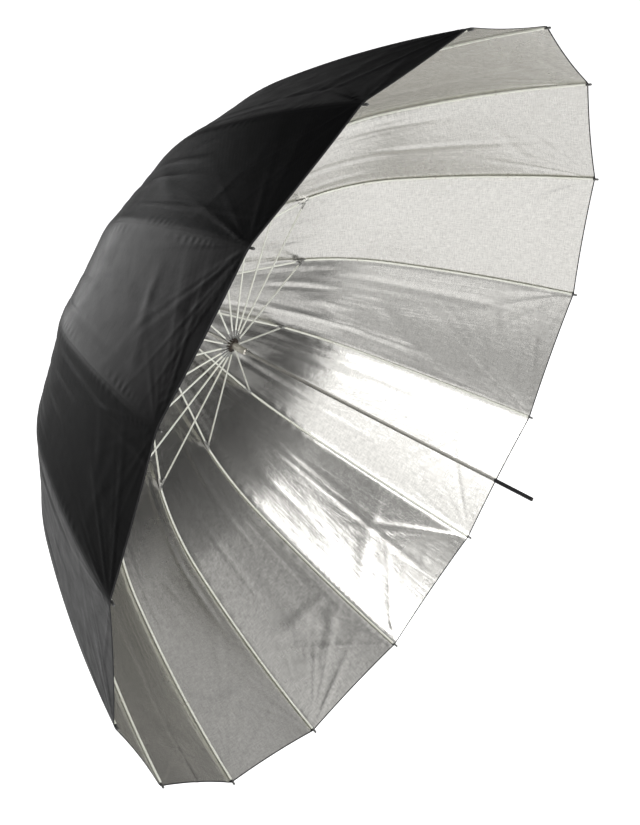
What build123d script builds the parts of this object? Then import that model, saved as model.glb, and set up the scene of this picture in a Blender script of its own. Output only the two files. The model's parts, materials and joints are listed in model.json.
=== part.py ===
from build123d import *
import os
from math import atan, cos, degrees, radians, sin, tan

# Folding umbrella reflector, shown open. The shaft lies along Y: the free end of the shaft is
# at the origin, the crown is towards +Y and the mouth of the bowl faces -Y. Rib 01 points to +Z.

# Ribs and canopy
rib_count = 16
rim_radius = 825
rim_y = 337
crown_y = 983
pivot_radius = 12
inner_length = 443
inner_angle = 71.74
outer_start_angle, outer_middle_angle, outer_end_angle = 61, 37.5, 27.5
inner_rod_radius = 2.0
outer_rod_radius = 2.0
canopy_thickness = 0.8
canopy_offset = 4.5
canopy_crown_radius = 8
canopy_crown_angle, canopy_shoulder_angle = 80, 63
canopy_short_of_tip = 8
seam_gap = 0.15

# Stretchers and runner
stretcher_setback = 14
stretcher_drop = 6
stretcher_rod_radius = 1.5
runner_y = 721

# Shaft
shaft_radius = 3.9
shaft_bore_radius = 3.3
shaft_top_y = 1008
end_section_length = 83
end_section_radius = 4
joint_groove = 0.6
spigot_length = 15
running_clearance = 0.08

# Slotted discs that hold the rib and stretcher ends
disc_radius = 15
disc_half_height = 4
slot_width = 2.8
slot_floor_radius = 9.2
tongue_thickness = 2.2
wire_radius = 0.6

# Hinges at the connector
fork_gap = 3.0
fork_cheek = 1.1
rivet_radius = 1.0

rib_step = 360 / rib_count
half_step = rib_step / 2
rib_plane = Plane(origin=(0, 0, 0), x_dir=(0, 0, 1), z_dir=(-1, 0, 0))


def heading(angle):
    """Direction in a rib's plane, as (radius, y), at an angle from -Y towards the outside."""
    return (sin(radians(angle)), -cos(radians(angle)))


def outward(angle):
    """Normal to heading(angle), on the outside of the bowl."""
    return (cos(radians(angle)), sin(radians(angle)))


def moved(point, direction, distance):
    return (point[0] + direction[0] * distance, point[1] + direction[1] * distance)


def arc_step(radius, start, end):
    """How far an arc of this radius goes while its heading turns from start to end."""
    a, b = radians(start), radians(end)
    return (radius * (cos(b) - cos(a)), radius * (sin(b) - sin(a)))


def two_radii(start_point, end_point, start, middle, end):
    """Radii of two tangent arcs from one point to another that turn by way of three headings."""
    r1, y1 = arc_step(1, start, middle)
    r2, y2 = arc_step(1, middle, end)
    dr, dy = end_point[0] - start_point[0], end_point[1] - start_point[1]
    scale = r1 * y2 - r2 * y1
    return (dr * y2 - dy * r2) / scale, (dy * r1 - dr * y1) / scale


def line_plane(start_point, direction):
    """Plane of a rib with its x along a straight member that starts at a point."""
    origin = rib_plane.from_local_coords((start_point[0], start_point[1], 0))
    ahead = rib_plane.from_local_coords(moved(start_point, direction, 1) + (0,))
    return Plane(origin=origin, x_dir=ahead - origin, z_dir=rib_plane.z_dir)


def across(plane, distance, drop=0):
    """Plane square to a straight member, at a distance along it."""
    return Plane(origin=plane.from_local_coords((distance, drop, 0)), z_dir=plane.x_dir)


# Key points in a rib's plane, as (radius, y)
crown_pivot = (pivot_radius, crown_y)
inner_plane = line_plane(crown_pivot, heading(inner_angle))
flex_pivot = moved(crown_pivot, heading(inner_angle), inner_length)
rib_tip = (rim_radius, rim_y)
setback_point = moved(flex_pivot, heading(inner_angle), -stretcher_setback)
stretcher_pivot = moved(setback_point, outward(inner_angle), -stretcher_drop)
runner_pivot = (pivot_radius, runner_y)

# Headings and lengths that follow from them
stretcher_run = (runner_pivot[0] - stretcher_pivot[0], runner_pivot[1] - stretcher_pivot[1])
stretcher_length = (stretcher_run[0] ** 2 + stretcher_run[1] ** 2) ** 0.5
stretcher_heading = (stretcher_run[0] / stretcher_length, stretcher_run[1] / stretcher_length)
stretcher_plane = line_plane(stretcher_pivot, stretcher_heading)


def save(part, name):
    part.label = name
    export_step(part, f"parts/{name}.step")


def save_around(part, name):
    """Saves one copy of a rib's piece for each rib, turned about the shaft."""
    for number in range(rib_count):
        save(part.rotate(Axis.Y, number * rib_step), f"{name}_{number + 1:02d}")


os.makedirs("parts", exist_ok=True)

# ---------------------------------------------------------------- shaft

catch_y = 683
catch_length = 14
catch_width = 2.2
catch_height = 2.6
catch_slot_clearance = 0.3
rivet_y = crown_y + 7

with BuildPart() as shaft_tube:
    with BuildSketch(Plane.XZ.offset(-end_section_length)):
        Circle(shaft_radius)
        Circle(shaft_bore_radius, mode=Mode.SUBTRACT)
    extrude(amount=-(shaft_top_y - end_section_length))
    chamfer(shaft_tube.edges().group_by(Axis.Y)[0], 0.2)
    with BuildSketch(Plane.YZ):
        with Locations((catch_y - catch_length / 2, shaft_radius)):
            Rectangle(catch_length + 2 * catch_slot_clearance, shaft_radius)
    extrude(amount=catch_width / 2 + catch_slot_clearance, both=True, mode=Mode.SUBTRACT)
    with BuildSketch(Plane.YZ):
        with Locations((rivet_y, 0)):
            Circle(rivet_radius)
    extrude(amount=shaft_radius + 1, both=True, mode=Mode.SUBTRACT)
save(shaft_tube.part, "shaft_tube")

# The painted lower end, which a clamp or a lamp's umbrella hole takes
cap_spigot_radius = 2.6
cap_spigot_length = 10

with BuildPart() as shaft_end_section:
    with BuildSketch(Plane.XZ):
        Circle(end_section_radius)
    extrude(amount=-(end_section_length - joint_groove))
    with BuildSketch(Plane.XZ.offset(-(end_section_length - joint_groove))):
        Circle(shaft_bore_radius)
    extrude(amount=-(spigot_length + joint_groove))
    with BuildSketch(Plane.XZ):
        Circle(cap_spigot_radius)
    extrude(amount=-(cap_spigot_length + 1), mode=Mode.SUBTRACT)
save(shaft_end_section.part, "shaft_end_section")

with BuildPart() as end_cap:
    with BuildSketch(Plane.XZ):
        Circle(cap_spigot_radius)
    extrude(amount=-cap_spigot_length)
    with BuildSketch(Plane.XZ):
        Circle(end_section_radius - 0.2)
    extrude(amount=3)
    fillet(end_cap.edges().group_by(Axis.Y)[0], 1.6)
save(end_cap.part, "end_cap")

# ---------------------------------------------------------------- crown

neck_radius = 7


def slotted_disc(y):
    """Disc about the shaft whose radial slots are open above and below."""
    with BuildSketch(Plane.XZ.offset(-(y - disc_half_height))) as outline:
        Circle(disc_radius)
        with PolarLocations((slot_floor_radius + disc_radius) / 2 + 1, rib_count, start_angle=90):
            Rectangle(disc_radius - slot_floor_radius + 2, slot_width, mode=Mode.SUBTRACT)
    extrude(outline.sketch, amount=-2 * disc_half_height)


with BuildPart() as crown_notch:
    slotted_disc(crown_y)
    with BuildSketch(Plane.XZ.offset(-crown_y)):
        Circle(neck_radius)
    extrude(amount=-10)
    with BuildSketch(Plane.XZ.offset(-(crown_y - disc_half_height))):
        Circle(shaft_radius)
    extrude(amount=-20, mode=Mode.SUBTRACT)
    with BuildSketch(Plane.YZ):
        with Locations((rivet_y, 0)):
            Circle(rivet_radius)
    extrude(amount=neck_radius + 1, both=True, mode=Mode.SUBTRACT)
    with BuildSketch(rib_plane):
        with Locations(crown_pivot):
            Circle(wire_radius)
    revolve(axis=Axis.Y, mode=Mode.SUBTRACT)
save(crown_notch.part, "crown_notch")

with BuildPart() as notch_wire:
    with BuildSketch(rib_plane):
        with Locations(crown_pivot):
            Circle(wire_radius)
    revolve(axis=Axis.Y)
save(notch_wire.part, "notch_wire")

with BuildPart() as notch_rivet:
    with BuildSketch(Plane.YZ):
        with Locations((rivet_y, 0)):
            Circle(rivet_radius)
    extrude(amount=neck_radius, both=True)
    for side in (-1, 1):
        with BuildSketch(Plane.YZ.offset(side * neck_radius)):
            with Locations((rivet_y, 0)):
                Circle(rivet_radius + 0.5)
        extrude(amount=side * 0.8)
save(notch_rivet.part, "notch_rivet")

# ---------------------------------------------------------------- canopy


def squeezed(point):
    """A rib-plane point seen half way between two ribs, where a flat gore lies nearer the shaft."""
    return (point[0] * cos(radians(half_step)), point[1])


def squeezed_angle(angle):
    return degrees(atan(tan(radians(angle)) * cos(radians(half_step))))


rim_corner = moved(rib_tip, heading(outer_end_angle), -canopy_short_of_tip)
rim_corner = moved(rim_corner, outward(outer_end_angle), canopy_offset)
flex_outside = moved(flex_pivot, outward(outer_start_angle), canopy_offset)
shoulder_radius, _ = two_radii(
    flex_outside, rim_corner, outer_start_angle, outer_middle_angle, outer_end_angle
)
back_to_shoulder = arc_step(shoulder_radius, outer_start_angle, canopy_shoulder_angle)
shoulder = moved(flex_outside, back_to_shoulder, 1)
crown_arc_radius = (shoulder[0] - canopy_crown_radius) / arc_step(
    1, canopy_crown_angle, canopy_shoulder_angle
)[0]
crown_edge_y = shoulder[1] - arc_step(crown_arc_radius, canopy_crown_angle, canopy_shoulder_angle)[1]


def gore_line():
    """The inner face of one gore along its middle, from the crown to the rim."""
    crown_edge = squeezed((canopy_crown_radius, crown_edge_y))
    gore_shoulder = squeezed(shoulder)
    turns = [
        squeezed_angle(angle)
        for angle in (
            canopy_crown_angle,
            canopy_shoulder_angle,
            outer_middle_angle,
            outer_end_angle,
        )
    ]
    radii = two_radii(gore_shoulder, squeezed(rim_corner), *turns[1:])
    first = (gore_shoulder[0] - crown_edge[0]) / arc_step(1, turns[0], turns[1])[0]
    start_y = gore_shoulder[1] - arc_step(first, turns[0], turns[1])[1]
    start = (crown_edge[0], start_y)
    for radius, turn, next_turn in zip((first, *radii), turns, turns[1:]):
        arc = JernArc(start, heading(turn), radius, next_turn - turn)
        start = arc @ 1


gore_plane = rib_plane.rotated((0, half_step, 0))
gore_half_width = rim_radius * tan(radians(half_step)) + 20

with BuildPart() as gore:
    with BuildSketch(gore_plane):
        with BuildLine():
            gore_line()
            offset(amount=canopy_thickness, side=Side.LEFT)
        make_face()
    extrude(amount=gore_half_width, both=True)
    with BuildSketch(Plane.XZ.rotated((0, half_step, 0))):
        with BuildLine():
            Polyline(
                (0, 2 * seam_gap),
                (-gore_half_width, gore_half_width / tan(radians(half_step)) + 2 * seam_gap),
                (gore_half_width, gore_half_width / tan(radians(half_step)) + 2 * seam_gap),
                close=True,
            )
        make_face()
    extrude(amount=-(crown_y + 100), mode=Mode.INTERSECT)

with BuildPart() as canopy:
    for number in range(rib_count):
        add(gore.part.rotate(Axis.Y, number * rib_step))
save(canopy.part, "canopy")

washer_y = crown_edge_y + canopy_thickness + 0.6
washer_radius = 20
washer_height = 2.4

with BuildPart() as crown_washer:
    with BuildSketch(Plane.XZ.offset(-washer_y)):
        Circle(washer_radius)
        Circle(shaft_radius, mode=Mode.SUBTRACT)
    extrude(amount=-washer_height)
    fillet(crown_washer.edges().filter_by(GeomType.CIRCLE).sort_by(SortBy.RADIUS)[-2:], 0.8)
save(crown_washer.part, "crown_washer")

ferrule_y = washer_y + washer_height
ferrule_radius = 8.5
ferrule_wall_top = 4

with BuildPart() as top_ferrule:
    with BuildSketch(Plane.XZ.offset(-ferrule_y)):
        Circle(ferrule_radius)
    extrude(amount=-(shaft_top_y + ferrule_wall_top - ferrule_y), taper=6)
    fillet(top_ferrule.edges().group_by(Axis.Y)[-1], 3)
    with BuildSketch(Plane.XZ.offset(-ferrule_y)):
        Circle(shaft_radius)
    extrude(amount=-(shaft_top_y - ferrule_y), mode=Mode.SUBTRACT)
save(top_ferrule.part, "top_ferrule")

# ---------------------------------------------------------------- runner and catch

sleeve_radius = 7.2
sleeve_end_y = 686
keyway_width = catch_width + 1.0
keyway_radius = shaft_radius + catch_height + 0.3


def keyway(from_y, to_y):
    """The groove in the runner that passes over the nose of the catch."""
    with BuildSketch(Plane.XZ.offset(-from_y)) as groove_outline:
        with Locations((0, keyway_radius / 2)):
            Rectangle(keyway_width, keyway_radius)
    extrude(groove_outline.sketch, amount=-(to_y - from_y), mode=Mode.SUBTRACT)


with BuildPart() as runner_hub:
    slotted_disc(runner_y)
    with BuildSketch(Plane.XZ.offset(-(runner_y - disc_half_height))):
        Circle(shaft_radius + running_clearance)
    extrude(amount=-2 * disc_half_height, mode=Mode.SUBTRACT)
    keyway(runner_y - disc_half_height, runner_y + disc_half_height)
save(runner_hub.part, "runner_hub")

with BuildPart() as runner_sleeve:
    with BuildSketch(Plane.XZ.offset(-sleeve_end_y)):
        Circle(sleeve_radius)
        Circle(shaft_radius + running_clearance, mode=Mode.SUBTRACT)
    extrude(amount=-(runner_y - disc_half_height - sleeve_end_y))
    chamfer(runner_sleeve.edges().group_by(Axis.Y)[0].sort_by(SortBy.RADIUS)[-1], 0.8)
    for groove in range(4):
        with BuildSketch(Plane.XZ.offset(-(sleeve_end_y + 6 + 6 * groove))):
            Circle(sleeve_radius)
            Circle(sleeve_radius - 0.15, mode=Mode.SUBTRACT)
        extrude(amount=-1.5, mode=Mode.SUBTRACT)
    keyway(sleeve_end_y, runner_y - disc_half_height)
save(runner_sleeve.part, "runner_sleeve")

with BuildPart() as catch_leaf:
    with BuildSketch(Plane.YZ):
        with BuildLine():
            Polyline(
                (catch_y, 1),
                (catch_y, shaft_radius + catch_height),
                (catch_y - 3, shaft_radius + catch_height),
                (catch_y - catch_length, shaft_radius - 0.3),
                (catch_y - catch_length, 1),
                close=True,
            )
        make_face()
    extrude(amount=catch_width / 2, both=True)
save(catch_leaf.part, "catch_leaf")

# ---------------------------------------------------------------- ribs


def tongue(plane, length, thickness, radius, hole):
    """Flat end of a rib or stretcher with an eye at the plane's origin."""
    with BuildSketch(plane) as outline:
        Circle(radius)
        with Locations((length / 2, 0)):
            Rectangle(length, 2 * radius)
        Circle(hole, mode=Mode.SUBTRACT)
    extrude(outline.sketch, amount=thickness / 2, both=True)


def socket(plane, start, end, radius, bore, bore_start):
    """Round ferrule on a straight member, bored for its rod."""
    with BuildSketch(across(plane, start)) as outline:
        Circle(radius)
    extrude(outline.sketch, amount=end - start)
    with BuildSketch(across(plane, bore_start)) as hole:
        Circle(bore)
    extrude(hole.sketch, amount=end - bore_start, mode=Mode.SUBTRACT)


rib_tongue_radius = 2.0
ferrule_start, ferrule_end, rod_start = 8, 26, 11
bracket_back, bracket_front = inner_length - 26, inner_length - 4
bracket_half_height = 2.8
bracket_half_width = fork_gap / 2 + fork_cheek
pin_clearance = 0.06

with BuildPart() as rib_eye:
    tongue(inner_plane, ferrule_start, tongue_thickness, rib_tongue_radius, wire_radius + 0.08)
    socket(inner_plane, ferrule_start, ferrule_end, inner_rod_radius + 0.25, inner_rod_radius, rod_start)

with BuildPart() as inner_rod:
    with BuildSketch(across(inner_plane, rod_start)):
        Circle(inner_rod_radius)
    extrude(amount=bracket_front - 2 - rod_start)

with BuildPart() as bracket:
    with BuildSketch(inner_plane):
        with Locations(((bracket_back + bracket_front) / 2, 0)):
            Rectangle(bracket_front - bracket_back, 2 * bracket_half_height)
    extrude(amount=bracket_half_width, both=True)
    with BuildSketch(inner_plane):
        with Locations((inner_length, 0)):
            Circle(bracket_half_height)
        with Locations((inner_length - 2, 0)):
            Rectangle(4, 2 * bracket_half_height)
        with Locations((inner_length - stretcher_setback, -stretcher_drop)):
            Circle(2.6)
        with Locations((inner_length - stretcher_setback, -stretcher_drop / 2)):
            Rectangle(5.2, stretcher_drop)
    extrude(amount=bracket_half_width, both=True)
    with BuildSketch(across(inner_plane, bracket_back)):
        Circle(inner_rod_radius)
    extrude(amount=bracket_front - 2 - bracket_back, mode=Mode.SUBTRACT)
    with BuildSketch(inner_plane):
        with Locations((inner_length, 0)):
            Rectangle(8, 2 * bracket_half_height + 2)
        with Locations((inner_length - stretcher_setback, -bracket_half_height - 5)):
            Rectangle(6, 10)
    extrude(amount=fork_gap / 2, both=True, mode=Mode.SUBTRACT)

with BuildPart() as bracket_pins:
    with BuildSketch(inner_plane):
        with Locations(
            (inner_length, 0), (inner_length - stretcher_setback, -stretcher_drop)
        ):
            Circle(rivet_radius)
    extrude(amount=fork_gap / 2, both=True)

with BuildPart() as rib_inner:
    add(rib_eye.part)
    add(bracket.part)
    add(bracket_pins.part)
save_around(
    Compound(children=[*rib_inner.part.solids(), inner_rod.part.solid()]), "rib_inner"
)

outer_tongue_length = 5.5
tip_length = 12
tip_radius = 2.6
outer_plane = line_plane(flex_pivot, heading(outer_start_angle))
first_radius, second_radius = two_radii(
    flex_pivot, rib_tip, outer_start_angle, outer_middle_angle, outer_end_angle
)
skipped_turn = degrees(outer_tongue_length / first_radius)
tip_turn = degrees(tip_length / second_radius)
rod_first_point = moved(
    flex_pivot,
    arc_step(first_radius, outer_start_angle, outer_start_angle - skipped_turn),
    1,
)

with BuildPart() as outer_rod:
    with BuildLine(rib_plane) as outer_path:
        bend = JernArc(
            rod_first_point,
            heading(outer_start_angle - skipped_turn),
            first_radius,
            outer_middle_angle - outer_start_angle + skipped_turn,
        )
        JernArc(
            bend @ 1,
            heading(outer_middle_angle),
            second_radius,
            outer_end_angle - outer_middle_angle + tip_turn,
        )
    with BuildSketch(Plane(origin=outer_path.line @ 0, z_dir=outer_path.line % 0)):
        Circle(outer_rod_radius)
    sweep(path=outer_path.line)

with BuildPart() as outer_eye:
    tongue(outer_plane, outer_tongue_length - 0.5, 2.4, 2.0, rivet_radius + pin_clearance)

tip_plane = line_plane(moved(rib_tip, heading(outer_end_angle), -tip_length), heading(outer_end_angle))
with BuildPart() as rib_tip_cap:
    with BuildSketch(across(tip_plane, 0.3)):
        Circle(tip_radius)
    extrude(amount=tip_length - 0.3 - tip_radius / 2)
    fillet(rib_tip_cap.edges(), 0.6)

save_around(
    Compound(
        children=[outer_rod.part.solid(), outer_eye.part.solid(), rib_tip_cap.part.solid()]
    ),
    "rib_outer",
)

# ---------------------------------------------------------------- stretchers

far_end_plane = line_plane(runner_pivot, (-stretcher_heading[0], -stretcher_heading[1]))
stretcher_ferrule = 7
stretcher_socket_end = 20
stretcher_socket_radius = 1.8

with BuildPart() as stretcher_ends:
    for plane, thickness, hole in (
        (stretcher_plane, 2.4, rivet_radius + pin_clearance),
        (far_end_plane, 2.0, wire_radius + 0.08),
    ):
        tongue(plane, stretcher_ferrule, thickness, 1.8, hole)
        socket(
            plane,
            stretcher_ferrule,
            stretcher_socket_end,
            stretcher_socket_radius,
            stretcher_rod_radius,
            stretcher_ferrule + 3,
        )

with BuildPart() as stretcher_rod:
    with BuildSketch(across(stretcher_plane, stretcher_ferrule + 3)):
        Circle(stretcher_rod_radius)
    extrude(amount=stretcher_length - 2 * (stretcher_ferrule + 3))

save_around(
    Compound(children=[*stretcher_ends.part.solids(), stretcher_rod.part.solid()]), "stretcher"
)
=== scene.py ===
import json
import math

import bpy
import numpy as np
from mathutils import Matrix, Vector


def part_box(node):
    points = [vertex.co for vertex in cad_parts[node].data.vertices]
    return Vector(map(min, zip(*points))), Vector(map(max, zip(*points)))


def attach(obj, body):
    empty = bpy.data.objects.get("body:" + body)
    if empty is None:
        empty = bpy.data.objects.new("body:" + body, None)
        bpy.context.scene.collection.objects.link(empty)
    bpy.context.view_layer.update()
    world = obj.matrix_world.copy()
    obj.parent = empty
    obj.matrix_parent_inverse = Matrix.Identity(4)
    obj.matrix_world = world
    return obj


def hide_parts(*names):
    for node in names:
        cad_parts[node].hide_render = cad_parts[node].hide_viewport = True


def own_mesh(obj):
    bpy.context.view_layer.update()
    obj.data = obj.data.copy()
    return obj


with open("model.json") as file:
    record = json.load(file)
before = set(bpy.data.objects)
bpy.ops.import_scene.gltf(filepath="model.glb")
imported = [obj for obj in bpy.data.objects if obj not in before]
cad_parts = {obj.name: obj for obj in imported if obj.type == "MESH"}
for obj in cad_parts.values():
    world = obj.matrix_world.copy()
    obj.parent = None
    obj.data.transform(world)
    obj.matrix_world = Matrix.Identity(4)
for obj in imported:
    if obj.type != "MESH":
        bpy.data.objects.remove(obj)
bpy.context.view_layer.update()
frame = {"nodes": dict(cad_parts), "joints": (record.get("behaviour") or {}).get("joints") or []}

# Everything is in metres, in the frame of the CAD model: the shaft lies along Y, the crown is
# towards +Y, and rib 01 points to +Z.

MM = 0.001
joints = {joint["name"]: joint for joint in frame["joints"]}
RIB_COUNT = sum(name.startswith("rib_hinge_") for name in joints)
STEP = 2 * math.pi / RIB_COUNT


def in_rib_plane(point):
    """(distance from the shaft's axis, y) of a point of rib 01."""
    return np.array([point[2], point[1]])


# ---------------------------------------------------------------- key places, from the frame

CROWN_PIVOT = in_rib_plane(joints["rib_hinge_01"]["pos_m"])
FLEX_PIVOT = in_rib_plane(joints["rib_flex_01"]["pos_m"])
STRETCHER_PIVOT = in_rib_plane(joints["stretcher_hinge_01"]["pos_m"])
RIM_Y = 0.337
RIB_TIP = np.array([0.825, RIM_Y])
RUNNER_PIVOT = np.array([CROWN_PIVOT[0], sum(c[1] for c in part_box("runner_hub")) / 2])

# Headings in a rib's plane, in degrees from -Y towards the outside
OUTER_START, OUTER_MIDDLE, OUTER_END = 61, 37.5, 27.5
CROWN_HEADING, SHOULDER_HEADING = 80, 63
FABRIC_OFFSET = 4.2 * MM
FABRIC_CROWN_RADIUS = 9 * MM
FABRIC_SHORT_OF_TIP = 8 * MM
FABRIC_THICKNESS = 0.7 * MM


def heading(angle):
    return np.array([math.sin(math.radians(angle)), -math.cos(math.radians(angle))])


def outward(angle):
    return np.array([math.cos(math.radians(angle)), math.sin(math.radians(angle))])


def arc_step(radius, start, end):
    """How far an arc goes while its heading turns from start to end."""
    a, b = np.radians(start), np.radians(end)
    turn = np.stack([np.cos(b) - np.cos(a), np.sin(b) - np.sin(a)], axis=-1)
    return np.asarray(radius)[..., None] * turn


def two_radii(start_point, end_point, start, middle, end):
    """Radii of two tangent arcs between two points that turn by way of three headings."""
    columns = np.stack([arc_step(1, start, middle), arc_step(1, middle, end)], axis=1)
    return np.linalg.solve(columns, end_point - start_point)


class Arcs:
    """A line of tangent arcs in a rib's plane, read by its length."""

    def __init__(self, start, headings, radii):
        self.radii, self.headings, self.starts = radii, headings, [start]
        turns = np.radians(-np.diff(headings))
        self.ends = np.cumsum(turns * np.array(radii))
        for radius, a, b in zip(radii, headings, headings[1:]):
            self.starts.append(self.starts[-1] + arc_step(radius, a, b))
        self.length = self.ends[-1]

    def at(self, length):
        """Points and headings at these lengths."""
        length = np.asarray(length, float)
        which = np.clip(np.searchsorted(self.ends, length), 0, len(self.radii) - 1)
        begun = np.concatenate([[0], self.ends])[which]
        radius = np.array(self.radii)[which]
        first = np.array(self.headings, float)[which]
        turn = first - np.degrees((length - begun) / radius)
        return np.array(self.starts)[which] + arc_step(radius, first, turn), turn


outer_radii = two_radii(FLEX_PIVOT, RIB_TIP, OUTER_START, OUTER_MIDDLE, OUTER_END)
outer_rib = Arcs(FLEX_PIVOT, [OUTER_START, OUTER_MIDDLE, OUTER_END], list(outer_radii))

corner = RIB_TIP - heading(OUTER_END) * FABRIC_SHORT_OF_TIP + outward(OUTER_END) * FABRIC_OFFSET
above_flex = FLEX_PIVOT + outward(OUTER_START) * FABRIC_OFFSET
fabric_radii = two_radii(above_flex, corner, OUTER_START, OUTER_MIDDLE, OUTER_END)
shoulder = above_flex + arc_step(fabric_radii[0], OUTER_START, SHOULDER_HEADING)
crown_radius = (shoulder[0] - FABRIC_CROWN_RADIUS) / arc_step(1, CROWN_HEADING, SHOULDER_HEADING)[0]
crown_edge = shoulder - arc_step(crown_radius, CROWN_HEADING, SHOULDER_HEADING)
seam_line = Arcs(
    crown_edge,
    [CROWN_HEADING, SHOULDER_HEADING, OUTER_MIDDLE, OUTER_END],
    [crown_radius, *fabric_radii],
)
# Length along the seam at which the canopy crosses from the inner rib to the outer rib
FLEX_LENGTH = seam_line.ends[0] + fabric_radii[0] * math.radians(SHOULDER_HEADING - OUTER_START)

# ---------------------------------------------------------------- mesh helpers


def turned(points, angle):
    """Points given as (radius, y, sideways) in a rib's plane, in the row frame for a rib that
    stands at this angle from +Z."""
    points = np.asarray(points, float)
    r, y, t = points[..., 0], points[..., 1], points[..., 2]
    s, c = np.sin(angle), np.cos(angle)
    return np.stack([r * s - t * c, y, r * c + t * s], axis=-1)


def smooth_by_angle(obj, degrees):
    bpy.context.view_layer.objects.active = obj
    obj.select_set(True)
    bpy.ops.object.shade_smooth_by_angle(angle=math.radians(degrees))
    obj.select_set(False)


def new_mesh(name, points, faces, smooth=True):
    mesh = bpy.data.meshes.new(name)
    mesh.from_pydata([tuple(p) for p in points], [], faces)
    mesh.validate()
    mesh.update()
    obj = bpy.data.objects.new(name, mesh)
    bpy.context.scene.collection.objects.link(obj)
    mesh.polygons.foreach_set("use_smooth", [smooth] * len(mesh.polygons))
    return obj


class Shape:
    """Collects closed solids in a rib's plane, as (radius, y, sideways), into one piece."""

    def __init__(self):
        self.points, self.faces, self.sharp = [], [], []

    def add(self, points, faces):
        base = len(self.points)
        self.points += [tuple(p) for p in points]
        self.faces += [tuple(base + i for i in face) for face in faces]

    def rings(self, rings):
        """A closed solid through rings of equal numbers of points, capped at both ends."""
        rings = np.asarray(rings, float)
        n, m = rings.shape[:2]
        faces = [
            (i * m + j, i * m + (j + 1) % m, (i + 1) * m + (j + 1) % m, (i + 1) * m + j)
            for i in range(n - 1)
            for j in range(m)
        ]
        faces += [tuple(reversed(range(m))), tuple((n - 1) * m + j for j in range(m))]
        self.add(rings.reshape(-1, 3), faces)

    def tube(self, line, along, radii, sides=14, flat=None):
        """A round bar along points in the rib's plane. along are its headings there, and flat,
        if given, the half width sideways at each point."""
        turn = np.linspace(0, 2 * np.pi, sides, endpoint=False)
        radii = np.broadcast_to(radii, (len(line),))
        wide = radii if flat is None else np.broadcast_to(flat, (len(line),))
        rings = []
        for point, direction, radius, half in zip(line, along, radii, wide):
            normal = np.array([-direction[1], direction[0]])
            across = np.outer(np.cos(turn) * radius, normal)
            rings.append(np.column_stack([point + across, np.sin(turn) * half]))
        self.rings(rings)

    def bar(self, start, end, radii_at, sides=14):
        """A straight bar whose radius changes along it, as {distance: radius}."""
        along = (end - start) / np.linalg.norm(end - start)
        line = [start + along * d for d in radii_at]
        self.tube(line, [along] * len(line), list(radii_at.values()), sides)

    def pin(self, centre, radius, half, dome=0.0, sides=16):
        """A round pin across the rib's plane, with domed heads if dome is more than 0."""
        turn = np.linspace(0, 2 * np.pi, sides, endpoint=False)
        profile = [(radius, half)]
        if dome:
            head = radius * 1.7
            profile = [(radius, half), (head, half), (head, half + dome * 0.45)]
            profile += [(head * 0.72, half + dome * 0.85), (head * 0.25, half + dome)]
        profile = [(r, -t) for r, t in reversed(profile)] + profile
        rings = [
            np.column_stack([centre[0] + r * np.cos(turn), centre[1] + r * np.sin(turn), turn * 0 + t])
            for r, t in profile
        ]
        self.rings(rings)

    def plate(self, outline, low, high, edge=0.25 * MM):
        """A flat plate with chamfered edges, from an outline in the rib's plane."""
        outline = np.asarray(outline, float)
        centre = outline.mean(0)
        reach = np.linalg.norm(outline - centre, axis=1)
        inset = centre + (outline - centre) * (1 - edge / reach)[:, None]
        levels = [(inset, low), (outline, low + edge), (outline, high - edge), (inset, high)]
        self.rings([np.column_stack([o, np.full(len(o), t)]) for o, t in levels])

    def make(self, name, angle, smooth_angle=40):
        obj = new_mesh(name, turned(self.points, angle), self.faces)
        smooth_by_angle(obj, smooth_angle)
        return obj


def stadium(centre, direction, length, radius, steps=10):
    """Outline of a strip with one round end at centre and a square end at length."""
    normal = np.array([-direction[1], direction[0]])
    turn = np.linspace(np.pi / 2, 3 * np.pi / 2, steps)
    points = [centre + radius * (np.cos(a) * direction + np.sin(a) * normal) for a in turn]
    square_end = centre + direction * length
    points += [square_end - normal * radius, square_end + normal * radius]
    return points


# ---------------------------------------------------------------- materials


def node_material(name, **sockets):
    """A new material with its shader, and its nodes and links."""
    material = bpy.data.materials.new(name)
    material.use_nodes = True
    nodes, links = material.node_tree.nodes, material.node_tree.links
    shader = nodes["Principled BSDF"]
    for socket, value in sockets.items():
        shader.inputs[socket.replace("_", " ")].default_value = value
    return material, nodes, links, shader


def add_node(nodes, kind, **settings):
    node = nodes.new(kind)
    for key, value in settings.items():
        if key in node.inputs:
            node.inputs[key].default_value = value
        else:
            setattr(node, key, value)
    return node


def noise(nodes, links, vector, scale, detail=4.0, roughness=0.55):
    node = add_node(nodes, "ShaderNodeTexNoise", Scale=scale, Detail=detail, Roughness=roughness)
    links.new(vector, node.inputs["Vector"])
    return node.outputs["Fac"]


def ramp(nodes, links, value, stops):
    node = nodes.new("ShaderNodeValToRGB")
    elements = node.color_ramp.elements
    while len(elements) < len(stops):
        elements.new(0.5)
    for element, (position, color) in zip(elements, stops):
        element.position = position
        element.color = (*color, 1) if len(color) == 3 else color
    links.new(value, node.inputs["Fac"])
    return node.outputs["Color"]


def math_node(nodes, links, operation, a, b=None):
    node = add_node(nodes, "ShaderNodeMath", operation=operation)
    for socket, value in zip(node.inputs, (a, b)):
        if value is None:
            continue
        if isinstance(value, (int, float)):
            socket.default_value = value
        else:
            links.new(value, socket)
    return node.outputs[0]


def bump(nodes, links, height, strength, distance, normal=None):
    node = add_node(nodes, "ShaderNodeBump", Strength=strength, Distance=distance)
    links.new(height, node.inputs["Height"])
    if normal is not None:
        links.new(normal, node.inputs["Normal"])
    return node.outputs["Normal"]


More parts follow.
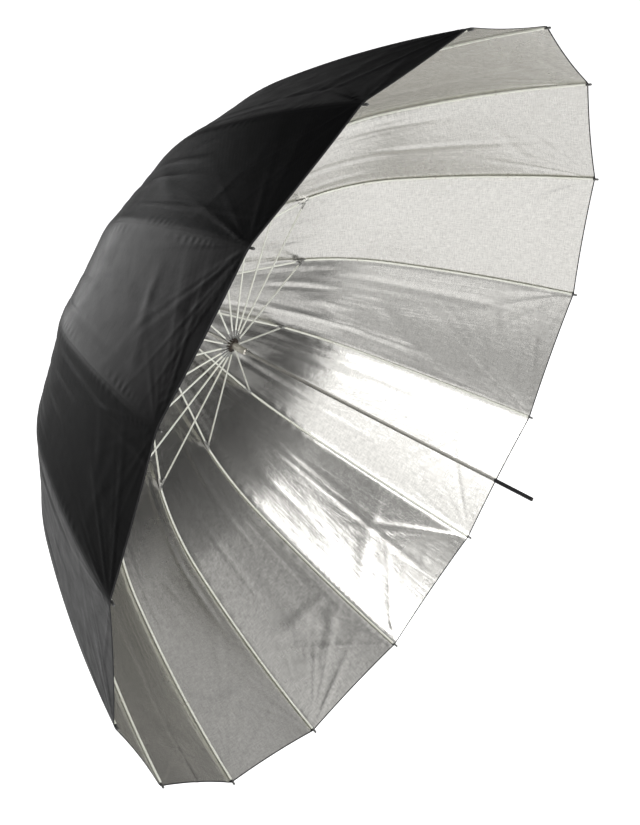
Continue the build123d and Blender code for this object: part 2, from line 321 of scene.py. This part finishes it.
def coordinates(nodes, links, scale=(1, 1, 1)):
    source = nodes.new("ShaderNodeTexCoord")
    mapping = add_node(nodes, "ShaderNodeMapping", Scale=scale)
    links.new(source.outputs["Object"], mapping.inputs["Vector"])
    return mapping.outputs["Vector"]


def uv(nodes, links, scale):
    source = nodes.new("ShaderNodeUVMap")
    source.uv_map = "weave"
    mapping = add_node(nodes, "ShaderNodeMapping", Scale=scale)
    links.new(source.outputs["UV"], mapping.inputs["Vector"])
    return mapping.outputs["Vector"]


SATIN_THREADS = 500


def weave(nodes, links, threads):
    """Height of a plain weave with this many threads a metre, from the cloth's own UVs."""
    vector = uv(nodes, links, (threads, threads, 1))
    split = nodes.new("ShaderNodeSeparateXYZ")
    links.new(vector, split.inputs["Vector"])
    waves = [
        math_node(nodes, links, "SINE", math_node(nodes, links, "MULTIPLY", split.outputs[i], math.pi))
        for i in (0, 1)
    ]
    return math_node(nodes, links, "MULTIPLY", *waves)


def silver_material():
    """Silver coated taffeta: a bright metal skin on a fine weave, with fold creases and crackle."""
    material, nodes, links, shader = node_material("silver_weave", Metallic=1.0)
    grain = coordinates(nodes, links)
    warp = noise(nodes, links, uv(nodes, links, (420, 60, 1)), 1, 2, 0.6)
    weft = noise(nodes, links, uv(nodes, links, (60, 420, 1)), 1, 2, 0.6)
    speck = math_node(nodes, links, "MULTIPLY", math_node(nodes, links, "ADD", warp, weft), 0.5)
    color = ramp(nodes, links, speck, [(0.36, (0.49, 0.48, 0.455)), (0.64, (0.67, 0.66, 0.63))])
    links.new(color, shader.inputs["Base Color"])
    patches = noise(nodes, links, grain, 6)
    rough = ramp(nodes, links, patches, [(0.3, (0.21,) * 3), (0.7, (0.29,) * 3)])
    links.new(rough, shader.inputs["Roughness"])
    normal = bump(nodes, links, speck, 0.28, 0.0006)
    streaks = uv(nodes, links, (46, 2.0, 1))
    normal = bump(nodes, links, noise(nodes, links, streaks, 1, 4, 0.65), 0.16, 0.003, normal)
    crackle = add_node(nodes, "ShaderNodeTexVoronoi", feature="DISTANCE_TO_EDGE", Scale=30)
    links.new(grain, crackle.inputs["Vector"])
    normal = bump(nodes, links, crackle.outputs["Distance"], 0.04, 0.003, normal)
    normal = bump(nodes, links, noise(nodes, links, grain, 45, 4, 0.6), 0.12, 0.003, normal)
    links.new(normal, shader.inputs["Normal"])
    return material


def black_satin_material():
    """Black satin with a soft lengthwise sheen."""
    material, nodes, links, shader = node_material("black_satin", Specular_IOR_Level=0.05)
    grain = coordinates(nodes, links)
    tone = noise(nodes, links, grain, 9)
    darkest, lightest = (0.0020, 0.0020, 0.0024), (0.0035, 0.0035, 0.0040)
    color = ramp(nodes, links, tone, [(0.3, darkest), (0.7, lightest)])
    links.new(color, shader.inputs["Base Color"])
    patches = noise(nodes, links, grain, 30)
    rough = ramp(nodes, links, patches, [(0.3, (0.28,) * 3), (0.7, (0.36,) * 3)])
    links.new(rough, shader.inputs["Roughness"])
    normal = bump(nodes, links, weave(nodes, links, SATIN_THREADS), 0.15, 0.0003)
    streaks = uv(nodes, links, (30, 2, 1))
    normal = bump(nodes, links, noise(nodes, links, streaks, 1, 3, 0.6), 0.12, 0.003, normal)
    normal = bump(nodes, links, noise(nodes, links, grain, 40, 4, 0.6), 0.08, 0.003, normal)
    links.new(normal, shader.inputs["Normal"])
    return material


def tape_material(name, dark, light):
    """Woven binding tape or thread."""
    material, nodes, links, shader = node_material(name, Roughness=0.8)
    grain = coordinates(nodes, links)
    color = ramp(nodes, links, noise(nodes, links, grain, 400, 3), [(0.3, dark), (0.7, light)])
    links.new(color, shader.inputs["Base Color"])
    normal = bump(nodes, links, noise(nodes, links, grain, 900, 2), 0.5, 0.0006)
    links.new(normal, shader.inputs["Normal"])
    return material


def fibreglass_material():
    """Cream pultruded rod with faint lengthwise fibres under a thin clear skin."""
    material, nodes, links, shader = node_material(
        "cream_fibreglass", Coat_Weight=0.35, Coat_Roughness=0.25
    )
    grain = coordinates(nodes, links)
    tone = noise(nodes, links, grain, 16)
    color = ramp(nodes, links, tone, [(0.3, (0.84, 0.85, 0.75)), (0.7, (0.93, 0.94, 0.86))])
    links.new(color, shader.inputs["Base Color"])
    fibres = noise(nodes, links, grain, 1500, 2)
    rough = ramp(nodes, links, fibres, [(0.3, (0.35,) * 3), (0.7, (0.5,) * 3)])
    links.new(rough, shader.inputs["Roughness"])
    links.new(bump(nodes, links, fibres, 0.15, 0.0002), shader.inputs["Normal"])
    return material


def metal_material(name, dark, light, rough, scratch=(1, 1, 1), metallic=1.0):
    """Plated or drawn metal whose grain runs the way that scratch is small."""
    material, nodes, links, shader = node_material(name, Metallic=metallic)
    grain = coordinates(nodes, links, scratch)
    lines = noise(nodes, links, grain, 900, 3)
    tone = noise(nodes, links, coordinates(nodes, links), 45)
    links.new(ramp(nodes, links, tone, [(0.3, dark), (0.7, light)]), shader.inputs["Base Color"])
    low, high = rough
    rough_color = ramp(nodes, links, lines, [(0.3, (low,) * 3), (0.7, (high,) * 3)])
    links.new(rough_color, shader.inputs["Roughness"])
    links.new(bump(nodes, links, lines, 0.12, 0.0002), shader.inputs["Normal"])
    return material


def plastic_material(name, dark, light, rough):
    """Moulded plastic with a fine spark-eroded grain."""
    material, nodes, links, shader = node_material(name)
    grain = coordinates(nodes, links)
    tone = noise(nodes, links, grain, 60)
    links.new(ramp(nodes, links, tone, [(0.3, dark), (0.7, light)]), shader.inputs["Base Color"])
    fine = noise(nodes, links, grain, 1400, 3)
    rough_color = ramp(nodes, links, fine, [(0.3, (rough - 0.06,) * 3), (0.7, (rough + 0.06,) * 3)])
    links.new(rough_color, shader.inputs["Roughness"])
    links.new(bump(nodes, links, fine, 0.25, 0.0003), shader.inputs["Normal"])
    return material


SILVER = silver_material()
SATIN = black_satin_material()
HEM = tape_material("black_tape", (0.010, 0.010, 0.011), (0.024, 0.024, 0.026))
TIE = tape_material("cream_thread", (0.55, 0.54, 0.48), (0.74, 0.73, 0.66))
ROD = fibreglass_material()
STEEL = metal_material("plated_steel", (0.42, 0.42, 0.41), (0.58, 0.58, 0.56), (0.28, 0.42))
SHAFT = metal_material(
    "drawn_steel", (0.66, 0.65, 0.62), (0.80, 0.79, 0.75), (0.24, 0.36), scratch=(1, 0.03, 1)
)
WIRE = metal_material("bright_wire", (0.6, 0.6, 0.6), (0.72, 0.72, 0.72), (0.15, 0.25))
TIP = metal_material("blackened_steel", (0.12, 0.12, 0.12), (0.2, 0.2, 0.19), (0.35, 0.5), metallic=0.8)
LACQUER = plastic_material("black_lacquer", (0.012, 0.012, 0.013), (0.020, 0.020, 0.022), 0.28)
PLASTIC = plastic_material("black_plastic", (0.018, 0.016, 0.015), (0.032, 0.029, 0.027), 0.48)
HUB = plastic_material("dark_brown_plastic", (0.030, 0.021, 0.014), (0.055, 0.040, 0.028), 0.40)
SLEEVE = metal_material("pale_plated_sleeve", (0.72, 0.69, 0.62), (0.86, 0.83, 0.75), (0.3, 0.42))

# ---------------------------------------------------------------- canopy surface

# How far the middle of a gore sags, as a share of its width, and how far its rim is drawn in
SAG_SHARE = 0.012
RIM_SCALLOP = 3 * MM
RIM_PULL_REACH = 0.27
# The seam sinks this far towards its rib, over this distance to each side
SEAM_DIP = 1.3 * MM
SEAM_REACH = 7 * MM
# Stitched puckers beside the seam
PUCKER_HEIGHT = 0.3 * MM
PUCKER_PITCH = 0.024
PUCKER_FROM_SEAM = 0.010
PUCKER_REACH = 0.009


def smooth_step(x):
    x = np.clip(x, 0, 1)
    return x * x * (3 - 2 * x)


def tip_folds(d, angle, rng):
    """Pulls that spread out from a corner over a distance, in metres, at an angle across the gore."""
    total = np.zeros_like(d)
    for _ in range(10):
        centre, width = rng.uniform(0.05, 1.35), rng.uniform(0.012, 0.045)
        reach, height = rng.uniform(0.05, 0.24), rng.uniform(0.35, 1.3) * MM
        ridge = np.exp(-(((angle - centre) / width) ** 2))
        total += height * ridge * np.exp(-((d / reach) ** 2)) * smooth_step(d / 0.04)
    return total


def crease(across, half):
    """A fold line pressed into the cloth: a step in slope, softened over a few millimetres."""
    return half * (np.sqrt((across / half) ** 2 + 0.06) - 1) * (np.abs(across) < half)


def gore_relief(gore, s, length, width):
    """How far the cloth of one gore stands out from its flat shape, in metres. s runs across it
    from 0 to 1, length along it, and width is its width there."""
    rng = np.random.default_rng(100 + gore)
    across = 4 * s * (1 - s)
    relief = -SAG_SHARE * width * across
    # long creases left by folding, which fan out from the crown
    for _ in range(9):
        place, drift = rng.uniform(0.06, 0.94), rng.uniform(-0.14, 0.14)
        start, span = rng.uniform(0.10, 0.6), rng.uniform(0.2, 0.6)
        line = place + drift * (length - start)
        fade = smooth_step((length - start) / 0.10) * smooth_step((start + span - length) / 0.10)
        half = rng.uniform(5, 14) * MM
        side = rng.choice([-1, 1])
        relief += side * rng.uniform(0.05, 0.13) * fade * crease((s - line) * width, half)
    # slack folds that lean across the gore
    for _ in range(5):
        place, size = rng.uniform(0.15, 0.85), rng.uniform(0.06, 0.15)
        middle, slant = rng.uniform(0.35, 1.0), rng.uniform(-0.8, 0.8)
        x, y = (s - place) * width, length - middle
        band = (x - slant * y) / (0.16 * size)
        relief += rng.uniform(0.25, 0.8) * MM * np.exp(-((y / size) ** 2) - band**2) * across
    # pulls at the two corners and along the rim
    rest = seam_line.length - length
    for side in (0, 1):
        sideways = (s if side == 0 else 1 - s) * width
        d = np.hypot(sideways, rest)
        angle = np.arctan2(sideways, rest + 1e-9)
        relief += tip_folds(d, angle, rng) * smooth_step(sideways / 0.004)
    # short puckers where the seam is tied to the rib
    seam = np.minimum(s, 1 - s) * width
    phase = length / PUCKER_PITCH + 1.7 * np.sin(length / 0.08 + rng.uniform(0, 6))
    gather = 0.5 + 0.5 * np.sin(length / 0.05 + rng.uniform(0, 6))
    beside_seam = np.exp(-(((seam - PUCKER_FROM_SEAM) / PUCKER_REACH) ** 2))
    pucker = PUCKER_HEIGHT * gather**2 * np.cos(2 * np.pi * phase) * beside_seam
    relief += pucker * smooth_step(length / 0.2)
    # loose ripples near the rim
    for _ in range(4):
        place, size = rng.uniform(0.2, 0.8), rng.uniform(0.05, 0.11)
        far, slant = rng.uniform(0.04, 0.22), rng.uniform(-0.6, 0.6)
        x, y = (s - place) * width, rest - far
        band = (y + slant * x) / (0.2 * size)
        relief += rng.uniform(0.3, 1.0) * MM * np.exp(-((x / size) ** 2) - band**2) * across
    dip = SEAM_DIP * np.exp(-((seam / SEAM_REACH) ** 2))
    return relief * smooth_step(seam / 0.003) * smooth_step(across * 6) - dip


def canopy_point(gore, s, length, out=0.0):
    """Points of the canopy in the row frame. Gore k lies between rib k and rib k + 1, and out is
    a distance outwards from the silver face."""
    near_rim = smooth_step((length - 0.75 * seam_line.length) / RIM_PULL_REACH)
    pull = RIM_SCALLOP * 4 * s * (1 - s) * near_rim
    point, turn = seam_line.at(length - pull)
    radius, y = point[..., 0], point[..., 1]
    width = 2 * radius * math.sin(STEP / 2)
    relief = gore_relief(gore, s, length, width) + out
    a, b = gore * STEP, (gore + 1) * STEP
    chord_a = turned(np.stack([radius, y, 0 * y], -1), a)
    chord_b = turned(np.stack([radius, y, 0 * y], -1), b)
    flat = chord_a * (1 - s)[..., None] + chord_b * s[..., None]
    angle = a + s * STEP
    lean = np.radians(turn)
    normal = np.stack(
        [np.cos(lean) * np.sin(angle), np.sin(lean), np.cos(lean) * np.cos(angle)], -1
    )
    return flat + normal * relief[..., None]


HALF_COLUMNS = 30
ROW_LENGTH = 5 * MM


def half_columns():
    """Places from a rib to the middle of a gore, closer together at the seam."""
    half = np.linspace(0, 1, HALF_COLUMNS + 1)
    return 0.5 * (0.35 * half + 0.65 * half**1.5)


def across_sector(rib, lengths, out):
    """Points of one face, at these lengths, from the middle of one gore past a rib to the next."""
    half = half_columns()
    left, along = np.meshgrid(1 - half[:0:-1], lengths)
    right, along_right = np.meshgrid(half, lengths)
    points = [
        canopy_point((rib - 1) % RIB_COUNT, left, along, out),
        canopy_point(rib, right, along_right, out),
    ]
    return np.concatenate(points, axis=1)


def cloth_sector(rib, start, end):
    """Grids of points of the inner and outer faces over one rib's sector."""
    lengths = np.linspace(start, end, max(4, int(round((end - start) / ROW_LENGTH))))
    return [across_sector(rib, lengths, out) for out in (0.0, FABRIC_THICKNESS)]


def thin_shell(name, inner, outer, materials):
    """A closed thin piece of cloth from two grids of points, with UVs in metres of cloth."""
    rows, columns = inner.shape[:2]
    points = np.concatenate([inner.reshape(-1, 3), outer.reshape(-1, 3)])
    index = np.arange(rows * columns).reshape(rows, columns)
    a, b, c, d = index[:-1, :-1], index[1:, :-1], index[1:, 1:], index[:-1, 1:]
    inside = np.stack([a, b, c, d], -1).reshape(-1, 4)
    outside = np.stack([a, d, c, b], -1).reshape(-1, 4) + rows * columns
    loop = np.concatenate([index[0, :-1], index[:-1, -1], index[-1, :0:-1], index[:0:-1, 0]])
    after = np.roll(loop, -1)
    shift = rows * columns
    rim = np.stack([loop, after, after + shift, loop + shift], -1)
    faces = np.concatenate([inside, outside, rim])
    obj = new_mesh(name, points, faces.tolist())
    mesh = obj.data
    for material in materials:
        mesh.materials.append(material)
    slots = [0] * len(inside) + [1] * (len(outside) + len(rim))
    mesh.polygons.foreach_set("material_index", slots)
    steps_down = np.linalg.norm(np.diff(inner[:, columns // 2], axis=0), axis=1)
    down = np.concatenate([[0], np.cumsum(steps_down)])
    steps = np.linalg.norm(np.diff(inner, axis=1), axis=2)
    side = np.concatenate([np.zeros((rows, 1)), np.cumsum(steps, axis=1)], axis=1)
    side -= side[:, columns // 2][:, None]
    flat = np.stack([side, np.repeat(down[:, None], columns, 1)], -1).reshape(-1, 2)
    flat = np.concatenate([flat, flat])
    corners = np.zeros(len(mesh.loops), int)
    mesh.loops.foreach_get("vertex_index", corners)
    layer = mesh.uv_layers.new(name="weave")
    layer.data.foreach_set("uv", flat[corners].reshape(-1))
    smooth_by_angle(obj, 50)
    return obj, float(flat[:, 0].max() - flat[:, 0].min()), float(down[-1])


# Share of its width that each part of a sector keeps when the umbrella is closed
INNER_KEEP, OUTER_KEEP = 0.09, 0.075


def make_canopy():
    """Sixteen sectors, each cut along the middle of two gores and centred on a rib. Each has an
    inner part on the inner rib and an outer part on the outer rib, and meets its neighbours."""
    spans = {
        "inner": (0, FLEX_LENGTH, INNER_KEEP),
        "outer": (FLEX_LENGTH, seam_line.length, OUTER_KEEP),
    }
    for rib in range(RIB_COUNT):
        number = f"{rib + 1:02d}"
        hem = make_hem(rib)
        for part, (start, end, keep) in spans.items():
            inside, outside = cloth_sector(rib, start, end)
            name = f"canopy_{part}_{number}"
            cloth, width, length = thin_shell(name, inside, outside, (SILVER, SATIN))
            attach(cloth, f"rib_{part}_{number}")
            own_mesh(cloth)
            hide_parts("canopy")


HEM_WIDTH = 3.5 * MM
HEM_STAND = 0.3 * MM


def make_hem(rib):
    """A black tape folded over the rim, one piece to a sector so that it folds with the cloth."""
    number = f"{rib + 1:02d}"
    profile = [
        (HEM_WIDTH * 0.55, -HEM_STAND),
        (0, -HEM_STAND),
        (-0.6 * MM, FABRIC_THICKNESS / 2),
        (0, FABRIC_THICKNESS + HEM_STAND),
        (HEM_WIDTH, FABRIC_THICKNESS + HEM_STAND),
        (HEM_WIDTH, FABRIC_THICKNESS + 0.1 * MM),
        (0.6 * MM, FABRIC_THICKNESS / 2),
        (HEM_WIDTH * 0.55, -0.1 * MM),
    ]
    lines = [across_sector(rib, [seam_line.length - back], out)[0] for back, out in profile]
    shape = Shape()
    shape.rings(np.stack(lines, axis=1))
    hem = new_mesh(f"hem_{number}", shape.points, shape.faces)
    hem.data.materials.append(HEM)
    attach(hem, f"rib_outer_{number}")
    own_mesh(hem)
    return hem


# ---------------------------------------------------------------- ribs and stretchers

INNER_ROD_RADIUS, OUTER_ROD_RADIUS, STRETCHER_ROD_RADIUS = 2.2 * MM, 2.3 * MM, 1.95 * MM
inner_along = (FLEX_PIVOT - CROWN_PIVOT) / np.linalg.norm(FLEX_PIVOT - CROWN_PIVOT)
inner_out = np.array([-inner_along[1], inner_along[0]])
INNER_LENGTH = float(np.linalg.norm(FLEX_PIVOT - CROWN_PIVOT))
stretcher_along = (RUNNER_PIVOT - STRETCHER_PIVOT) / np.linalg.norm(RUNNER_PIVOT - STRETCHER_PIVOT)
STRETCHER_LENGTH = float(np.linalg.norm(RUNNER_PIVOT - STRETCHER_PIVOT))


def eye(shape, centre, direction, radius, half, start):
    """A flat tongue, half thick to each side, with a round end about a pivot."""
    shape.plate(stadium(centre, direction, start, radius), -half, half)


def ferrule(shape, centre, direction, start, end, radius):
    """A rolled end sleeve with two crimped grooves."""
    lip, groove = 0.5 * MM, 0.35 * MM
    third = (end - start) / 3
    marks = [start + third, start + 2 * third]
    stops = {start: radius * 0.75, start + lip: radius}
    for mark in marks:
        stops[mark - groove * 2] = radius
        stops[mark - groove] = radius * 0.88
        stops[mark + groove] = radius * 0.88
        stops[mark + groove * 2] = radius
    stops[end - lip] = radius
    stops[end] = radius * 0.88
    shape.bar(centre, centre + direction, stops)


def make_rib(rib):
    number = f"{rib + 1:02d}"
    angle = rib * STEP
    inner_body, outer_body = f"rib_inner_{number}", f"rib_outer_{number}"

    rod = Shape()
    rod_ends = (24 * MM, INNER_LENGTH - 6 * MM)
    rod.bar(CROWN_PIVOT, FLEX_PIVOT, {end: INNER_ROD_RADIUS for end in rod_ends})
    inner = rod.make(f"rib_rod_inner_{number}", angle)
    finish_piece(inner, ROD, inner_body, "rib_rod", inner_body)

    top = Shape()
    eye(top, CROWN_PIVOT, inner_along, 2.0 * MM, 1.1 * MM, 9 * MM)
    ferrule(top, CROWN_PIVOT, inner_along, 8 * MM, 26 * MM, 2.3 * MM)
    finish_piece(top.make(f"rib_eye_{number}", angle), STEEL, inner_body, "rivet_steel")

    finish_piece(connector().make(f"connector_{number}", angle), STEEL, inner_body, "rivet_steel")

    bend = Shape()
    lengths = np.concatenate([[2.6 * MM, 4 * MM], np.linspace(8 * MM, outer_rib.length - 6 * MM, 60)])
    line, turn = outer_rib.at(lengths)
    along = [heading(t) for t in turn]
    radii = np.interp(lengths, [2.6 * MM, 4 * MM], [1.3 * MM, OUTER_ROD_RADIUS])
    bend.tube(line, along, radii)
    eye(bend, FLEX_PIVOT, heading(OUTER_START), 1.9 * MM, 1.2 * MM, 4 * MM)
    outer = bend.make(f"rib_rod_outer_{number}", angle)
    finish_piece(outer, ROD, outer_body, "rib_rod", outer_body)

    tip = Shape()
    end_line, end_turn = outer_rib.at(outer_rib.length - np.array([13, 12.4, 3.0, 1.2, 0.4, 0.0]) * MM)
    tip.tube(
        end_line,
        [heading(t) for t in end_turn],
        np.array([2.1, 2.5, 2.5, 2.3, 1.6, 0.8]) * MM,
    )
    finish_piece(tip.make(f"rib_tip_{number}", angle), TIP, outer_body, "rivet_steel")


def connector():
    """Folded steel channel on the rib, with an ear each side for the stretcher's rivet and a fork
    at its outer end."""
    shape = Shape()
    back, front = INNER_LENGTH - 26 * MM, INNER_LENGTH - 3.5 * MM
    half_gap, wall = 1.55 * MM, 1.0 * MM
    setback = float((FLEX_PIVOT - STRETCHER_PIVOT) @ inner_along)

    def at(s, v):
        return CROWN_PIVOT + inner_along * s + inner_out * v

    sleeve_radius = 2.85 * MM
    sleeve = {back: 2.35 * MM, back + 0.6 * MM: sleeve_radius, front: sleeve_radius}
    shape.bar(CROWN_PIVOT, FLEX_PIVOT, sleeve)
    cheek = [
        at(back + 2 * MM, 2.4 * MM),
        at(back + 1 * MM, 0.5 * MM),
        at(back + 2 * MM, -2.4 * MM),
        at(INNER_LENGTH - setback - 4.2 * MM, -3.2 * MM),
    ]
    ear = np.linspace(-0.85 * np.pi, -0.15 * np.pi, 9)
    centre_s, centre_v = INNER_LENGTH - setback, float((STRETCHER_PIVOT - FLEX_PIVOT) @ inner_out)
    end_radius = 2.7 * MM
    cheek += [at(centre_s + end_radius * math.cos(a), centre_v + end_radius * math.sin(a)) for a in ear]
    cheek += [at(INNER_LENGTH - setback + 4.2 * MM, -3.2 * MM), at(front - 1 * MM, -2.6 * MM)]
    fork = np.linspace(-0.5 * np.pi, 0.5 * np.pi, 9)
    cheek += [at(INNER_LENGTH + end_radius * math.cos(a), end_radius * math.sin(a)) for a in fork]
    for side in (-1, 1):
        low, high = sorted((side * half_gap, side * (half_gap + wall)))
        shape.plate(cheek, low, high, 0.2 * MM)
    for centre in (FLEX_PIVOT, STRETCHER_PIVOT):
        shape.pin(centre, 0.95 * MM, half_gap + wall, 0.6 * MM)
    return shape


def make_stretcher(rib):
    number = f"{rib + 1:02d}"
    angle = rib * STEP
    body = f"stretcher_{number}"
    rod = Shape()
    rod_ends = (18 * MM, STRETCHER_LENGTH - 18 * MM)
    rod.bar(STRETCHER_PIVOT, RUNNER_PIVOT, {end: STRETCHER_ROD_RADIUS for end in rod_ends})
    finish_piece(rod.make(f"stretcher_rod_{number}", angle), ROD, body, "stretcher_rod", body)
    ends = Shape()
    for centre, direction, half in (
        (STRETCHER_PIVOT, stretcher_along, 1.2 * MM),
        (RUNNER_PIVOT, -stretcher_along, 1.0 * MM),
    ):
        eye(ends, centre, direction, 1.8 * MM, half, 8 * MM)
        ferrule(ends, centre, direction, 7 * MM, 20 * MM, 2.15 * MM)
    finish_piece(ends.make(f"stretcher_ends_{number}", angle), STEEL, body, "rivet_steel")


def finish_piece(obj, material, body, slot, *replaced):
    obj.data.materials.append(material)
    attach(obj, body)
    if replaced:
        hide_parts(*replaced)


TIE_PLACES = (0.13, 0.29, 0.45)
TIE_SHIFTS = (-1.2 * MM, 0, 1.2 * MM)
TIE_LOOP = np.array([2.9, 2.4]) * MM
TIE_THREAD_RADIUS = 0.4 * MM
TIE_RISE = 0.5 * MM


def thread_loop(centre, turn, around=14, sides=6):
    """Points and faces of one loop of thread about a rod that has this heading at centre."""
    rings = []
    for a in np.linspace(0, 2 * np.pi, around, endpoint=False):
        radial = np.array([math.cos(a), math.sin(a)])
        middle = radial * TIE_LOOP
        ring = []
        for b in np.linspace(0, 2 * np.pi, sides, endpoint=False):
            spread = radial * TIE_THREAD_RADIUS * math.cos(b)
            place = centre + outward(turn) * (middle[0] + spread[0] + TIE_RISE)
            place = place + heading(turn) * TIE_THREAD_RADIUS * math.sin(b)
            ring.append((place[0], place[1], middle[1] + spread[1]))
        rings.append(ring)
    faces = []
    for i in range(around):
        after = (i + 1) % around
        for j in range(sides):
            beside = (j + 1) % sides
            faces.append((i * sides + j, i * sides + beside, after * sides + beside, after * sides + j))
    return np.array(rings).reshape(-1, 3), faces


def make_ties(rib):
    """Thread loops that hold the seam to the rib, three together at each place."""
    number = f"{rib + 1:02d}"
    ties = Shape()
    for length in TIE_PLACES:
        (point,), (turn,) = outer_rib.at(np.array([length]))
        for shift in TIE_SHIFTS:
            ties.add(*thread_loop(point + heading(turn) * shift, turn))
    finish_piece(ties.make(f"rib_ties_{number}", rib * STEP), TIE, f"rib_outer_{number}", "rib_rod")


# ---------------------------------------------------------------- shaft, runner, crown


def paint_cad_parts():
    """Materials for the pieces that keep their CAD shape."""
    looks = {
        "shaft_tube": SHAFT,
        "shaft_end_section": LACQUER,
        "end_cap": PLASTIC,
        "crown_notch": PLASTIC,
        "notch_wire": WIRE,
        "notch_rivet": STEEL,
        "crown_washer": PLASTIC,
        "top_ferrule": LACQUER,
        "runner_hub": HUB,
        "runner_sleeve": SLEEVE,
        "catch_leaf": STEEL,
    }
    for name, material in looks.items():
        node = frame["nodes"][name]
        node.data.materials.clear()
        node.data.materials.append(material)


make_canopy()
for rib_number in range(RIB_COUNT):
    make_rib(rib_number)
    make_stretcher(rib_number)
    make_ties(rib_number)
paint_cad_parts()

# ---------------------------------------------------------------- stage, light and camera

FLOOR_Z = -1.7
FLOOR_REACH = 30


def shown_or_reflected(nodes, links, shown, reflected):
    """One value where the camera sees the surface itself and another in light and reflections."""
    path = nodes.new("ShaderNodeLightPath")
    mix = add_node(nodes, "ShaderNodeMix", data_type="FLOAT")
    links.new(path.outputs["Is Camera Ray"], mix.inputs[0])
    for socket, value in ((mix.inputs[2], reflected), (mix.inputs[3], shown)):
        if isinstance(value, (int, float)):
            socket.default_value = value
        else:
            links.new(value, socket)
    return mix.outputs[0]


def make_floor():
    """A white floor that glows: to the camera it emits an even white, and in light and reflections it
    gives off a painted pool of light, brightest in front of the bowl.
    """
    reach = FLOOR_REACH
    corners = [(-reach, -reach), (reach, -reach), (reach, reach), (-reach, reach)]
    floor = new_mesh("floor", [(x, y, FLOOR_Z) for x, y in corners], [(0, 1, 2, 3)], False)
    material, nodes, links, shader = node_material("pale_floor", Roughness=0.9)
    shader.inputs["Emission Color"].default_value = (1, 1, 1, 1)
    place = coordinates(nodes, links)
    tone = noise(nodes, links, place, 3)
    color = ramp(nodes, links, tone, [(0.3, (0.93,) * 3), (0.7, (0.95,) * 3)])
    links.new(color, shader.inputs["Base Color"])
    # Painted pool of light: a round spot of emission on the floor, brightest under the front of the
    # bowl, given off only in light and reflections
    painted_light_pool = add_node(nodes, "ShaderNodeTexGradient", gradient_type="SPHERICAL")
    around = add_node(nodes, "ShaderNodeMapping", Location=(0, 0.28, 0.5), Scale=(0.30, 0.30, 0.30))
    links.new(place, around.inputs["Vector"])
    links.new(around.outputs["Vector"], painted_light_pool.inputs["Vector"])
    glow = ramp(nodes, links, painted_light_pool.outputs["Fac"], [(0.0, (0.04,) * 3), (0.3, (0.64,) * 3)])
    # The floor's emission is painted light: even to the camera, and the painted pool of light
    # everywhere else
    strength = shown_or_reflected(nodes, links, 1.0, glow)
    links.new(strength, shader.inputs["Emission Strength"])
    floor.data.materials.append(material)


CAMERA_PLACE = (-2.7181, -1.0164, 1.8728)
CAMERA_HEADING = (0.7441, 0.4116, -0.5261)
CAMERA_UP = (0.3562, 0.4218, 0.8338)
CAMERA_LENS, CAMERA_SENSOR = 78.7, 36


def make_camera():
    """A camera at the photograph's place, heading and roll."""
    camera = bpy.data.objects.new("camera", bpy.data.cameras.new("camera"))
    bpy.context.scene.collection.objects.link(camera)
    camera.data.lens = CAMERA_LENS
    camera.data.sensor_width = CAMERA_SENSOR
    camera.data.clip_end = 100
    back = -Vector(CAMERA_HEADING).normalized()
    right = Vector(CAMERA_UP).cross(back).normalized()
    up = back.cross(right)
    turn = Matrix((right, up, back)).transposed()
    camera.matrix_world = Matrix.Translation(CAMERA_PLACE) @ turn.to_4x4()
    bpy.context.scene.camera = camera


def bearing(azimuth, elevation):
    """Unit vector at an azimuth from +Y towards +X and an elevation above the floor, in degrees."""
    a, e = math.radians(azimuth), math.radians(elevation)
    return Vector((math.sin(a) * math.cos(e), math.cos(a) * math.cos(e), math.sin(e)))


BOWL_CENTRE = Vector((0, 0.6, 0))


def soft_box(name, azimuth, elevation, distance, size, radiance):
    """An area light of an even radiance that faces the middle of the bowl."""
    light = bpy.data.lights.new(name, "AREA")
    light.shape = "RECTANGLE"
    light.size, light.size_y = size
    light.energy = radiance * math.pi * size[0] * size[1]
    obj = bpy.data.objects.new(name, light)
    bpy.context.scene.collection.objects.link(obj)
    direction = bearing(azimuth, elevation)
    obj.rotation_mode = "QUATERNION"
    obj.location = BOWL_CENTRE + direction * distance
    obj.rotation_quaternion = (-direction).to_track_quat("-Z", "Y")


def make_world():
    """A dim studio, a little lighter above, against a white background."""
    world = bpy.data.worlds.new("studio")
    bpy.context.scene.world = world
    world.use_nodes = True
    nodes, links = world.node_tree.nodes, world.node_tree.links
    source = nodes.new("ShaderNodeTexCoord")
    split = nodes.new("ShaderNodeSeparateXYZ")
    links.new(source.outputs["Generated"], split.inputs["Vector"])
    glow = ramp(nodes, links, split.outputs["Z"], [(0.1, (0.06,) * 3), (0.8, (0.28,) * 3)])
    strength = shown_or_reflected(nodes, links, 1.0, glow)
    nodes["Background"].inputs["Color"].default_value = (1, 1, 1, 1)
    links.new(strength, nodes["Background"].inputs["Strength"])


def make_lights():
    """A key light and a bright wall behind the camera, with weaker lights around the object."""
    soft_box("key", -147, 40, 4.2, (1.7, 1.7), 6.5)
    soft_box("wall", -144, 20, 4.6, (3.4, 5.0), 1.3)
    soft_box("side", 4, -2, 3.0, (1.7, 1.7), 3.0)
    soft_box("top", 140, 55, 4.0, (2.0, 2.0), 0.6)
    soft_box("right", 105, 20, 4.0, (2.2, 2.2), 0.4)


make_floor()
make_camera()
make_world()
make_lights()
bpy.context.scene.view_settings.view_transform = "Standard"
